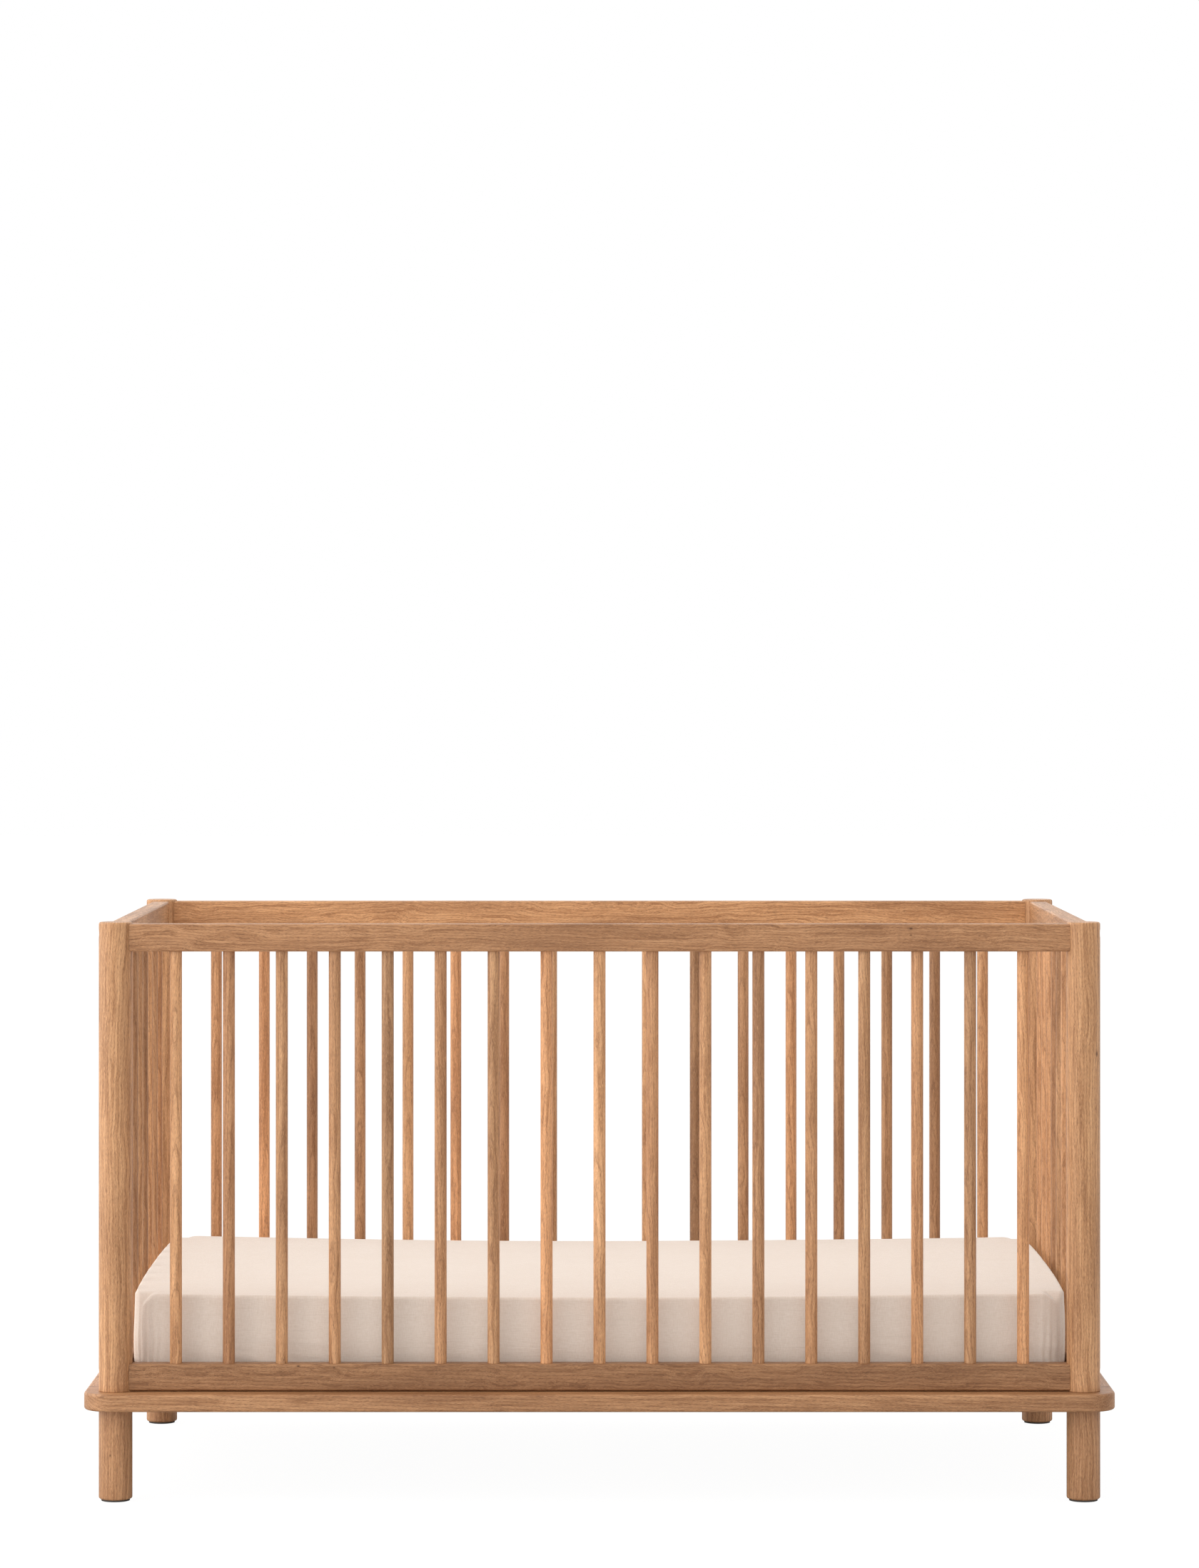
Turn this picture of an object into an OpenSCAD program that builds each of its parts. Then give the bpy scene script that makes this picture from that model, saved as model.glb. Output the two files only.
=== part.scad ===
// Baby crib in solid oak: four round posts, railed sides of round spindles, a plinth frame on
// round legs, a loose slatted base and a mattress in a fitted sheet.
// Millimetres. Origin: centre of the footprint on the floor. +X along the crib, +Y to the back.

/* [Overall] */
// Height of the post tops above the floor
crib_h = 810; // [700:1:1000]
// Clear length between the end rails, which takes the mattress
inner_len = 1330; // [1100:1:1600]
// Clear width between the long rails, which takes the mattress
inner_wid = 704; // [550:1:850]
// Height of the plinth's underside above the floor
ground_clear = 129; // [80:1:200]

/* [Posts and legs] */
// Diameter of the round posts and legs
post_d = 47; // [40:0.5:60]
// Height of a post's top above the top rails
post_proud = 2.5; // [0:0.5:20]
// Edge rounding of the post tops and the leg feet
bar_edge_r = 3; // [1:0.5:5]
// Edge rounding where posts and legs meet the plinth
seat_edge_r = 1; // [0.5:0.25:2]

/* [Rails] */
// Thickness of every rail
rail_t = 26; // [22:0.5:32]
// Height of the top rails' section
top_rail_h = 38.5; // [34:0.5:60]
// Height of the bottom rails' section
bottom_rail_h = 37.5; // [34:0.5:60]
// Edge rounding of the rails
rail_edge_r = 3; // [1:0.5:5]
// Gap between the bottom rails and the plinth
rail_lift = 1; // [0.5:0.25:10]
// Gap between a rail's coped end and its post
cope_gap = 0.3; // [0.1:0.1:1]

/* [Spindles] */
// Diameter of the spindles
spindle_d = 17; // [14:0.5:20.5]
// Number of spindles in each long side
side_count = 17; // [13:1:19]
// Number of spindles in each end
end_count = 8; // [6:1:9]
// Distance from a post's axis to the first spindle of a long side
side_margin = 84.5; // [80:0.5:100]
// Distance from a post's axis to the first spindle of an end
end_margin = 89.5; // [80:0.5:100]
// Length of spindle held inside each rail
spindle_seat = 15; // [10:1:18]
// Depth of a spindle hole beyond the spindle's end
hole_spare = 1; // [0.5:0.5:2]

/* [Plinth] */
// Thickness of the plinth boards
plinth_t = 24.5; // [20:0.5:35]
// Width of the plinth boards
plinth_board_w = 90; // [80:1:110]
// Overhang of the plinth beyond the posts
plinth_over = 20; // [10:0.5:30]
// Corner rounding of the plinth seen from above
plinth_corner_r = 40; // [20:1:60]
// Edge rounding of the plinth
plinth_edge_r = 3.5; // [1:0.5:6]

/* [Fasteners and dowels] */
// Diameter of the rail bolts
bolt_d = 6; // [5:1:8]
// Length of bolt that stands out past its barrel nut
bolt_past = 2; // [1:0.5:6]
// Diameter of a rail bolt's head
bolt_head_d = 12; // [10:0.5:13]
// Thickness of a rail bolt's head
bolt_head_t = 4; // [3:0.5:5]
// Across-flats size of the hexagon socket in a bolt head
hex_key = 4; // [3:1:5]
// Depth of the hexagon socket
hex_depth = 2.5; // [1.5:0.5:3]
// Depth of the recess that hides a bolt head in its post
head_recess = 9; // [6:0.5:11]
// Clearance around a bolt or stud in a plain hole
bolt_clear = 0.25; // [0.1:0.05:0.5]
// Clearance between a thread and its nut or insert
thread_gap = 0.05; // [0.02:0.01:0.1]
// Clearance of a glued or pressed piece in its hole
fit_gap = 0.05; // [0.02:0.01:0.2]
// Diameter of the barrel nuts
barrel_d = 10; // [9:0.5:12]
// Length of the barrel nuts
barrel_len = 12; // [10:1:14]
// Distance from a rail's end to its barrel nut
barrel_inset = 25; // [20:1:26]
// Height of the rail bolts above the middle of a rail
bolt_rise = 6; // [4:0.5:7]
// Distance of the rail dowels from the middle of a rail
dowel_offset = 9; // [8:0.5:10]
// Diameter of the rail dowels
dowel_d = 8; // [6:0.5:10]
// Depth of a rail dowel in its post
dowel_in_post = 14; // [10:0.5:15]
// Depth of a rail dowel in its rail
dowel_in_rail = 20; // [15:0.5:30]
// Diameter of the dowels that join the plinth boards
plinth_dowel_d = 10; // [8:1:12]
// Length of the dowels that join the plinth boards
plinth_dowel_len = 60; // [40:1:70]
// Diameter of the studs that join leg, plinth and post
stud_d = 8; // [6:1:10]
// Outer diameter of the threaded inserts for the studs
insert_d = 12; // [11:0.5:14]
// Length of the threaded inserts for the studs
insert_len = 18; // [14:1:20]
// Thickness of the glides under the legs
glide_t = 2.5; // [1.5:0.5:5]
// Diameter of the glides under the legs
glide_d = 40; // [30:1:44]

/* [Slatted base] */
// Gap between the slatted base and the rails around it
base_gap = 4; // [2:0.5:8]
// Thickness of the base's bars
base_t = 18; // [15:0.5:24]
// Width of the base's bars
base_bar_w = 40; // [36:1:60]
// Number of slats
slat_count = 12; // [10:1:13]
// Width of a slat
slat_w = 55; // [45:1:60]
// Thickness of a slat
slat_t = 8; // [6:0.5:10]
// Width of bar left outside the end of a slat
slat_lip = 10; // [8:1:15]
// Gap around a slat in its housing
slat_gap = 0.3; // [0.1:0.1:1]
// Diameter of a slat screw's shank
screw_d = 3.5; // [3:0.5:4.5]
// Diameter of a slat screw's head
screw_head_d = 7; // [6:0.5:9]
// Length of a slat screw
screw_len = 16; // [12:0.5:16]
// Diameter of the dowels that join the base's bars
base_dowel_d = 6; // [5:0.5:8]
// Length of the dowels that join the base's bars
base_dowel_len = 36; // [30:1:40]
// Rise from the low to the raised setting of the base
base_raise = 250; // [150:1:300]
// Outer diameter of the brass inserts that serve the raised setting
support_d = 8; // [7:0.5:9]
// Bore of those inserts
support_bore = 5; // [4:0.5:5]
// Length of those inserts
support_len = 11; // [8:0.5:12]

/* [Mattress and sheet] */
// Gap between the covered mattress and the rails around it
mattress_gap = 7; // [5:0.5:12]
// Thickness of the mattress
mattress_t = 114; // [90:1:150]
// Corner rounding of the mattress seen from above
mattress_corner_r = 50; // [40:1:80]
// Rounding of the mattress's top and bottom edges
mattress_edge_r = 18; // [12:1:35]
// Thickness of the mattress's cover
cover_t = 3; // [2:0.5:5]
// Thickness of the fitted sheet
sheet_t = 1; // [0.8:0.1:2]
// Gap between sheet, cover and core
cloth_gap = 0.2; // [0.1:0.1:0.5]
// Width of sheet turned under the mattress
sheet_under = 75; // [55:1:120]

/* [Hidden] */
$fn = 96;
eps = 1;
post_r = post_d / 2;
post_x = (inner_len + rail_t) / 2;
post_y = (inner_wid + rail_t) / 2;
plinth_top = ground_clear + plinth_t;
plinth_len = 2 * (post_x + post_r + plinth_over);
plinth_wid = 2 * (post_y + post_r + plinth_over);
top_rail_z = crib_h - post_proud - top_rail_h;
bottom_rail_z = plinth_top + rail_lift;
rail_levels = [
    [bottom_rail_z, bottom_rail_h],
    [top_rail_z, top_rail_h],
];
spindle_z = bottom_rail_z + bottom_rail_h - spindle_seat;
spindle_len = top_rail_z + spindle_seat - spindle_z;
spindle_hole_d = spindle_d + 2 * fit_gap;
head_seat = post_r - head_recess;
bolt_len = head_seat + post_r + barrel_inset + barrel_d / 2 + bolt_past;
stud_reach = insert_len + 1;
base_len = inner_len - 2 * base_gap;
base_wid = inner_wid - 2 * base_gap;
base_top = plinth_top + base_t;
slat_len = base_wid - 2 * slat_lip - 2 * slat_gap;
screw_y = base_wid / 2 - (slat_lip + base_bar_w) / 2;
screw_head_t = (screw_head_d - screw_d) / 2;
support_z = plinth_top + base_raise - support_bore;
sheet_len = inner_len - 2 * mattress_gap;
sheet_wid = inner_wid - 2 * mattress_gap;
sheet_lift = sheet_t + cloth_gap;
sheet_h = mattress_t + 2 * sheet_lift;

slat_names = [for (i = [1 : slat_count]) str("slat_", i)];

function spread(count, half, margin) =
    [for (i = [0 : count - 1]) (half - margin) * (2 * i / (count - 1) - 1)];

// ---- shared shapes

// Rectangle with rounded corners, centred
module round_rect(w, h, r) {
    square([w - 2 * r, h], center = true);
    square([w, h - 2 * r], center = true);
    for (sx = [-1, 1], sy = [-1, 1])
        translate([sx * (w / 2 - r), sy * (h / 2 - r)]) circle(r);
}

// Section from x = 0 outwards whose outer edge has both corners rounded
module nosed_section(depth, thick, r) {
    square([depth - r, thick]);
    translate([0, r]) square([depth, thick - 2 * r]);
    for (y = [r, thick - r]) translate([depth - r, y]) circle(r);
}

// Round bar standing on z = 0 with its own rounding at each end
module round_bar(d, h, foot_r, head_r) {
    rotate_extrude() {
        translate([0, foot_r]) square([d / 2, h - foot_r - head_r]);
        square([d / 2 - foot_r, foot_r + eps]);
        translate([0, h - head_r - eps]) square([d / 2 - head_r, head_r + eps]);
        translate([d / 2 - foot_r, foot_r]) circle(foot_r);
        translate([d / 2 - head_r, h - head_r]) circle(head_r);
    }
}

// Nosed strip along +X from the origin, its nose towards -Y
module nosed_strip(len, depth, thick, r) {
    rotate([90, 0, 90]) mirror([1, 0, 0]) linear_extrude(len) nosed_section(depth, thick, r);
}

// Quarter disc about the origin in the -X, -Y quadrant with a nosed rim
module nosed_corner(r, thick, edge_r) {
    rotate([0, 0, 180]) rotate_extrude(angle = 90) nosed_section(r, thick, edge_r);
}

// Slab centred on the origin, standing on z = 0, rounded in plan and along every edge
module soft_slab(len, wid, thick, corner_r, edge_r) {
    for (a = [0, 180]) rotate([0, 0, a]) {
        translate([corner_r - len / 2, corner_r - wid / 2, 0])
            nosed_strip(len - 2 * corner_r, corner_r, thick, edge_r);
        translate([corner_r - len / 2, corner_r - wid / 2, 0]) nosed_corner(corner_r, thick, edge_r);
        translate([corner_r - len / 2, wid / 2 - corner_r, 0]) {
            rotate([0, 0, -90]) nosed_strip(wid - 2 * corner_r, corner_r, thick, edge_r);
            rotate([0, 0, -90]) nosed_corner(corner_r, thick, edge_r);
        }
    }
    translate([corner_r - len / 2, corner_r - wid / 2, 0])
        cube([len - 2 * corner_r, wid - 2 * corner_r, thick]);
}

// Corner frame: origin on a post's axis, +X along the long rail and +Y along the end rail
module corner(sx, sy) {
    translate([sx * post_x, sy * post_y, 0])
        mirror([sx > 0 ? 1 : 0, 0, 0]) mirror([0, sy > 0 ? 1 : 0, 0]) children();
}

module each_corner() {
    for (sx = [-1, 1], sy = [-1, 1]) corner(sx, sy) children();
}

// ---- holes and fasteners in the corner frame, for a rail whose middle is at height z

function middle(level) = level[0] + level[1] / 2;

module along_x(x, z, d, len) {
    translate([x, 0, z]) rotate([0, 90, 0]) cylinder(d = d, h = len);
}

module along_y(y, z, d, len) {
    translate([0, y, z]) rotate([-90, 0, 0]) cylinder(d = d, h = len);
}

module bolt_hole(z) {
    along_x(-head_seat, z, bolt_d + 2 * bolt_clear, bolt_len + hole_spare);
    along_x(-post_r - eps, z, bolt_head_d + 2, head_recess + eps);
}

module barrel_hole(level) {
    translate([post_r + barrel_inset, 0, level[0] - eps])
        cylinder(
            d = barrel_d + 2 * fit_gap,
            h = level[1] / 2 + bolt_rise + barrel_len / 2 + fit_gap + eps
        );
}

module long_rail_dowel(z, spare) {
    along_x(
        post_r - dowel_in_post - spare, z, dowel_d + 2 * (spare > 0 ? fit_gap : 0),
        dowel_in_post + dowel_in_rail + 2 * spare
    );
}

module end_rail_dowels(z, spare) {
    for (side = [-1, 1])
        along_y(
            post_r - dowel_in_post - spare, z + side * dowel_offset,
            dowel_d + 2 * (spare > 0 ? fit_gap : 0), dowel_in_post + dowel_in_rail + 2 * spare
        );
}

module support_place() {
    translate([0, 0, support_z]) rotate([0, 90, 45]) children();
}

// ---- frame

module post(sx, sy) {
    color([0.76, 0.57, 0.40])
    corner(sx, sy)
    difference() {
        translate([0, 0, plinth_top]) round_bar(post_d, crib_h - plinth_top, seat_edge_r, bar_edge_r);
        for (level = rail_levels) {
            bolt_hole(middle(level) + bolt_rise);
            long_rail_dowel(middle(level) - dowel_offset, hole_spare);
            end_rail_dowels(middle(level), hole_spare);
        }
        translate([0, 0, plinth_top - eps])
            cylinder(d = insert_d + 2 * fit_gap, h = insert_len + eps);
        translate([0, 0, plinth_top]) cylinder(d = stud_d + 2 * bolt_clear, h = stud_reach + hole_spare);
        support_place() translate([0, 0, post_r - support_len - hole_spare])
            cylinder(d = support_d + 2 * fit_gap, h = support_len + hole_spare + eps);
    }
}

// Long rail at one level; holes_up is true where the spindles enter its top
module long_rail(sy, level, holes_up) {
    color([0.72, 0.53, 0.37])
    difference() {
        translate([-post_x, sy * post_y, middle(level)]) rotate([90, 0, 90])
            linear_extrude(2 * post_x) round_rect(rail_t, level[1], rail_edge_r);
        for (sx = [-1, 1]) corner(sx, sy) {
            translate([0, 0, level[0] - eps]) cylinder(r = post_r + cope_gap, h = level[1] + 2 * eps);
            bolt_hole(middle(level) + bolt_rise);
            barrel_hole(level);
            long_rail_dowel(middle(level) - dowel_offset, hole_spare);
        }
        for (x = spread(side_count, post_x, side_margin))
            translate([x, sy * post_y, spindle_hole_z(level, holes_up)])
                cylinder(d = spindle_hole_d, h = spindle_seat + hole_spare + eps);
    }
}

function spindle_hole_z(level, holes_up) =
    holes_up ? level[0] + level[1] - spindle_seat - hole_spare : level[0] - eps;

// End rail at one level
module end_rail(sx, level, holes_up) {
    color([0.74, 0.55, 0.38])
    difference() {
        translate([sx * post_x, post_y, middle(level)]) rotate([90, 0, 0])
            linear_extrude(2 * post_y) round_rect(rail_t, level[1], rail_edge_r);
        for (sy = [-1, 1]) corner(sx, sy) {
            translate([0, 0, level[0] - eps]) cylinder(r = post_r + cope_gap, h = level[1] + 2 * eps);
            end_rail_dowels(middle(level), hole_spare);
        }
        for (y = spread(end_count, post_y, end_margin))
            translate([sx * post_x, y, spindle_hole_z(level, holes_up)])
                cylinder(d = spindle_hole_d, h = spindle_seat + hole_spare + eps);
    }
}

module spindle() {
    translate([0, 0, spindle_z]) cylinder(d = spindle_d, h = spindle_len);
}

module side_spindles(sy) {
    color([0.78, 0.60, 0.44])
    for (x = spread(side_count, post_x, side_margin)) translate([x, sy * post_y, 0]) spindle();
}

module end_spindles(sx) {
    color([0.80, 0.62, 0.46])
    for (y = spread(end_count, post_y, end_margin)) translate([sx * post_x, y, 0]) spindle();
}

// ---- plinth and legs

module stud_hole() {
    translate([0, 0, ground_clear - eps])
        cylinder(d = stud_d + 2 * bolt_clear, h = plinth_t + 2 * eps);
}

module plinth_dowel(sx, sy, spare) {
    for (off = [1, 3] * plinth_board_w / 4)
        translate([
            sx * (plinth_len / 2 - off),
            sy * (plinth_wid / 2 - plinth_board_w) - plinth_dowel_len / 2 - spare,
            ground_clear + plinth_t / 2
        ])
            rotate([-90, 0, 0])
            cylinder(d = plinth_dowel_d + 2 * (spare > 0 ? fit_gap : 0), h = plinth_dowel_len + 2 * spare);
}

// Full-length board with the plinth's rounded corners, drawn at the front and turned to the back
module plinth_long(sy) {
    straight = plinth_len - 2 * plinth_corner_r;
    color([0.71, 0.52, 0.36])
    difference() {
        rotate([0, 0, sy > 0 ? 180 : 0])
        translate([-plinth_len / 2, -plinth_wid / 2, ground_clear]) {
            translate([plinth_corner_r, plinth_corner_r, 0]) {
                nosed_strip(straight, plinth_corner_r, plinth_t, plinth_edge_r);
                nosed_corner(plinth_corner_r, plinth_t, plinth_edge_r);
                cube([straight, plinth_board_w - plinth_corner_r, plinth_t]);
            }
            translate([plinth_corner_r + straight, plinth_corner_r, 0]) {
                rotate([0, 0, 90]) nosed_corner(plinth_corner_r, plinth_t, plinth_edge_r);
                rotate([0, 0, 90])
                    nosed_strip(plinth_board_w - plinth_corner_r, plinth_corner_r, plinth_t, plinth_edge_r);
            }
            translate([plinth_corner_r, plinth_board_w, 0]) rotate([0, 0, -90])
                nosed_strip(plinth_board_w - plinth_corner_r, plinth_corner_r, plinth_t, plinth_edge_r);
        }
        for (sx = [-1, 1]) {
            corner(sx, sy) stud_hole();
            plinth_dowel(sx, sy, hole_spare);
        }
    }
}

// Short board between the two long ones
module plinth_short(sx) {
    span = plinth_wid - 2 * plinth_board_w;
    color([0.73, 0.54, 0.38])
    difference() {
        rotate([0, 0, sx > 0 ? 180 : 0])
        translate([plinth_board_w - plinth_len / 2, span / 2, ground_clear]) rotate([0, 0, -90])
            nosed_strip(span, plinth_board_w, plinth_t, plinth_edge_r);
        for (sy = [-1, 1]) plinth_dowel(sx, sy, hole_spare);
    }
}

module leg(sx, sy) {
    color([0.69, 0.50, 0.35])
    corner(sx, sy)
    difference() {
        translate([0, 0, glide_t]) round_bar(post_d, ground_clear - glide_t, bar_edge_r, seat_edge_r);
        translate([0, 0, ground_clear - insert_len])
            cylinder(d = insert_d + 2 * fit_gap, h = insert_len + eps);
        translate([0, 0, ground_clear - stud_reach - hole_spare])
            cylinder(d = stud_d + 2 * bolt_clear, h = stud_reach + hole_spare);
    }
}

// ---- hardware of the frame

module leg_glides() {
    color([0.25, 0.23, 0.21])
    each_corner() cylinder(d = glide_d, h = glide_t);
}

module leg_studs() {
    color([0.70, 0.71, 0.72])
    each_corner() translate([0, 0, ground_clear - stud_reach])
        cylinder(d = stud_d, h = plinth_t + 2 * stud_reach);
}

module stud_inserts() {
    color([0.62, 0.63, 0.65])
    each_corner() for (z = [ground_clear - insert_len, plinth_top])
        translate([0, 0, z]) difference() {
            cylinder(d = insert_d, h = insert_len);
            translate([0, 0, -eps]) cylinder(d = stud_d + 2 * thread_gap, h = insert_len + 2 * eps);
        }
}

module rail_bolts() {
    color([0.66, 0.67, 0.69])
    each_corner() for (level = rail_levels) {
        z = middle(level) + bolt_rise;
        difference() {
            union() {
                along_x(-head_seat, z, bolt_d, bolt_len);
                along_x(-head_seat - bolt_head_t, z, bolt_head_d, bolt_head_t);
            }
            translate([-head_seat - bolt_head_t - eps, 0, z]) rotate([0, 90, 0])
                cylinder(d = hex_key / cos(30), h = hex_depth + eps, $fn = 6);
        }
    }
}

module barrel_nuts() {
    color([0.62, 0.63, 0.65])
    each_corner() for (level = rail_levels) difference() {
        translate([post_r + barrel_inset, 0, middle(level) + bolt_rise - barrel_len / 2])
            cylinder(d = barrel_d, h = barrel_len);
        along_x(post_r, middle(level) + bolt_rise, bolt_d + 2 * thread_gap, bolt_len);
    }
}

module rail_dowels() {
    color([0.85, 0.72, 0.55])
    each_corner() for (level = rail_levels) {
        long_rail_dowel(middle(level) - dowel_offset, 0);
        end_rail_dowels(middle(level), 0);
    }
}

module plinth_dowels() {
    color([0.85, 0.72, 0.55])
    for (sx = [-1, 1], sy = [-1, 1]) plinth_dowel(sx, sy, 0);
}

module support_inserts() {
    color([0.80, 0.66, 0.35])
    each_corner() support_place() translate([0, 0, post_r - support_len]) difference() {
        cylinder(d = support_d, h = support_len - 0.5);
        translate([0, 0, -eps]) cylinder(d = support_bore, h = support_len + 2 * eps);
    }
}

// ---- slatted base

function slat_x(i) = spread(slat_count, base_len / 2 - base_bar_w, slat_margin)[i - 1];
slat_pitch = (base_len - 2 * base_bar_w + slat_w) / (slat_count + 1);
slat_margin = slat_pitch - slat_w / 2;

module post_clearance() {
    each_corner() translate([0, 0, plinth_top - eps])
        cylinder(r = post_r + base_gap, h = base_t + 2 * eps);
}

module base_dowel(sx, sy, spare) {
    for (off = [1, 3] * base_bar_w / 4)
        translate([
            sx * (base_len / 2 - off),
            sy * (base_wid / 2 - base_bar_w) - base_dowel_len / 2 - spare,
            plinth_top + base_t / 2
        ])
            rotate([-90, 0, 0])
            cylinder(d = base_dowel_d + 2 * (spare > 0 ? fit_gap : 0), h = base_dowel_len + 2 * spare);
}

module slat_screw(x, sy, gap) {
    translate([x, sy * screw_y, base_top - screw_len])
        cylinder(d = screw_d + 2 * gap, h = screw_len - gap);
    translate([x, sy * screw_y, base_top - screw_head_t])
        cylinder(d1 = screw_d + 2 * gap, d2 = screw_head_d + 2 * gap, h = screw_head_t);
}

module base_bar_long(sy) {
    color([0.86, 0.74, 0.58])
    difference() {
        translate([-base_len / 2, sy > 0 ? base_wid / 2 - base_bar_w : -base_wid / 2, plinth_top])
            cube([base_len, base_bar_w, base_t]);
        post_clearance();
        for (sx = [-1, 1]) base_dowel(sx, sy, hole_spare);
        for (i = [1 : slat_count]) {
            translate([slat_x(i) - slat_w / 2 - slat_gap, -base_wid / 2 + slat_lip, base_top - slat_t])
                cube([slat_w + 2 * slat_gap, base_wid - 2 * slat_lip, slat_t + eps]);
            slat_screw(slat_x(i), sy, fit_gap);
        }
    }
}

module base_bar_short(sx) {
    span = base_wid - 2 * base_bar_w;
    color([0.84, 0.72, 0.56])
    difference() {
        translate([sx > 0 ? base_len / 2 - base_bar_w : -base_len / 2, -span / 2, plinth_top])
            cube([base_bar_w, span, base_t]);
        for (sy = [-1, 1]) base_dowel(sx, sy, hole_spare);
    }
}

module slat(i) {
    color([0.88, 0.77, 0.61])
    difference() {
        translate([slat_x(i) - slat_w / 2, -slat_len / 2, base_top - slat_t])
            cube([slat_w, slat_len, slat_t]);
        for (sy = [-1, 1]) slat_screw(slat_x(i), sy, fit_gap);
    }
}

module slat_screws() {
    color([0.70, 0.71, 0.72])
    for (i = [1 : slat_count], sy = [-1, 1]) slat_screw(slat_x(i), sy, 0);
}

module base_dowels() {
    color([0.85, 0.72, 0.55])
    for (sx = [-1, 1], sy = [-1, 1]) base_dowel(sx, sy, 0);
}

// ---- mattress and sheet

// The sheet's outer shape, shrunk all round by inset
module bedding(inset) {
    translate([0, 0, base_top + inset])
        soft_slab(
            sheet_len - 2 * inset, sheet_wid - 2 * inset, sheet_h - 2 * inset,
            mattress_corner_r - inset, mattress_edge_r - inset
        );
}

module mattress_core() {
    color([0.95, 0.90, 0.72])
    bedding(sheet_lift + cover_t + cloth_gap);
}

module mattress_cover() {
    color([0.93, 0.93, 0.91])
    difference() {
        bedding(sheet_lift);
        bedding(sheet_lift + cover_t);
    }
}

module fitted_sheet() {
    color([0.90, 0.86, 0.78])
    difference() {
        bedding(0);
        bedding(sheet_t);
        translate([0, 0, base_top - eps]) linear_extrude(mattress_t / 2)
            round_rect(sheet_len - 2 * sheet_under, sheet_wid - 2 * sheet_under, mattress_edge_r);
    }
}

post(-1, -1);  // post_front_left
post(1, -1);  // post_front_right
post(-1, 1);  // post_back_left
post(1, 1);  // post_back_right
long_rail(-1, rail_levels[1], false);  // top_rail_front
long_rail(1, rail_levels[1], false);  // top_rail_back
end_rail(-1, rail_levels[1], false);  // top_rail_left
end_rail(1, rail_levels[1], false);  // top_rail_right
long_rail(-1, rail_levels[0], true);  // bottom_rail_front
long_rail(1, rail_levels[0], true);  // bottom_rail_back
end_rail(-1, rail_levels[0], true);  // bottom_rail_left
end_rail(1, rail_levels[0], true);  // bottom_rail_right
side_spindles(-1);  // spindles_front
side_spindles(1);  // spindles_back
end_spindles(-1);  // spindles_left
end_spindles(1);  // spindles_right
plinth_long(-1);  // plinth_front
plinth_long(1);  // plinth_back
plinth_short(-1);  // plinth_left
plinth_short(1);  // plinth_right
leg(-1, -1);  // leg_front_left
leg(1, -1);  // leg_front_right
leg(-1, 1);  // leg_back_left
leg(1, 1);  // leg_back_right
leg_glides();
leg_studs();
stud_inserts();
rail_bolts();
barrel_nuts();
rail_dowels();
plinth_dowels();
support_inserts();
base_bar_long(-1);  // base_bar_front
base_bar_long(1);  // base_bar_back
base_bar_short(-1);  // base_bar_left
base_bar_short(1);  // base_bar_right
for (i = [1 : slat_count]) slat(i);
slat_screws();
base_dowels();
mattress_core();
mattress_cover();
fitted_sheet();
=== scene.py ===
import math

import bmesh
import bpy
import numpy as np
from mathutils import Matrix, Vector, noise
from mathutils.kdtree import KDTree


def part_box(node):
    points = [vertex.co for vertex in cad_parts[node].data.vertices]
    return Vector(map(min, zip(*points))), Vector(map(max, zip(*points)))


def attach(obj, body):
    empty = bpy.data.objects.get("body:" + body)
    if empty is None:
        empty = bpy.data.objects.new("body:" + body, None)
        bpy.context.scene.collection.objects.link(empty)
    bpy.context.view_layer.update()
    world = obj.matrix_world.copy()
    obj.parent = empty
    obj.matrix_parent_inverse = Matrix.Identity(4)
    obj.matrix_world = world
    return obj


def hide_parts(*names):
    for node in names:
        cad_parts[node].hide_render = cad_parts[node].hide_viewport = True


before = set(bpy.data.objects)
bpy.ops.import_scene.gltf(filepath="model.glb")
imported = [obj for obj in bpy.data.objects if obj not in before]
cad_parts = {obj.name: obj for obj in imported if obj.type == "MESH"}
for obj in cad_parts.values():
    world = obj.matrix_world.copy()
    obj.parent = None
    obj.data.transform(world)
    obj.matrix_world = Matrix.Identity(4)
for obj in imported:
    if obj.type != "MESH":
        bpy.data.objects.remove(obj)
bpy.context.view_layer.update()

MM = 0.001


# ---------------------------------------------------------------- camera

CAMERA_DISTANCE = 6.9       # metres in front of the front posts' axes
EYE_HEIGHT = 1.1416


def add_camera():
    """A level camera in front of the crib and above its top rail, as the photograph was taken."""
    post_low, post_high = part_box("post_front_left")
    post_axis_y = (post_low[1] + post_high[1]) / 2
    data = bpy.data.cameras.new("camera")
    data.sensor_width = 36.0
    data.lens = 113.06      # its picture is 2.197 m high at the front posts
    data.shift_y = -0.063   # looks down without tilting
    data.clip_end = 100.0
    camera = bpy.data.objects.new("camera", data)
    camera.location = (0.0, post_axis_y - CAMERA_DISTANCE, EYE_HEIGHT)
    camera.rotation_euler = (math.pi / 2, 0.0, 0.0)
    bpy.context.scene.collection.objects.link(camera)
    bpy.context.scene.camera = camera


# ---------------------------------------------------------------- node helper

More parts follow.
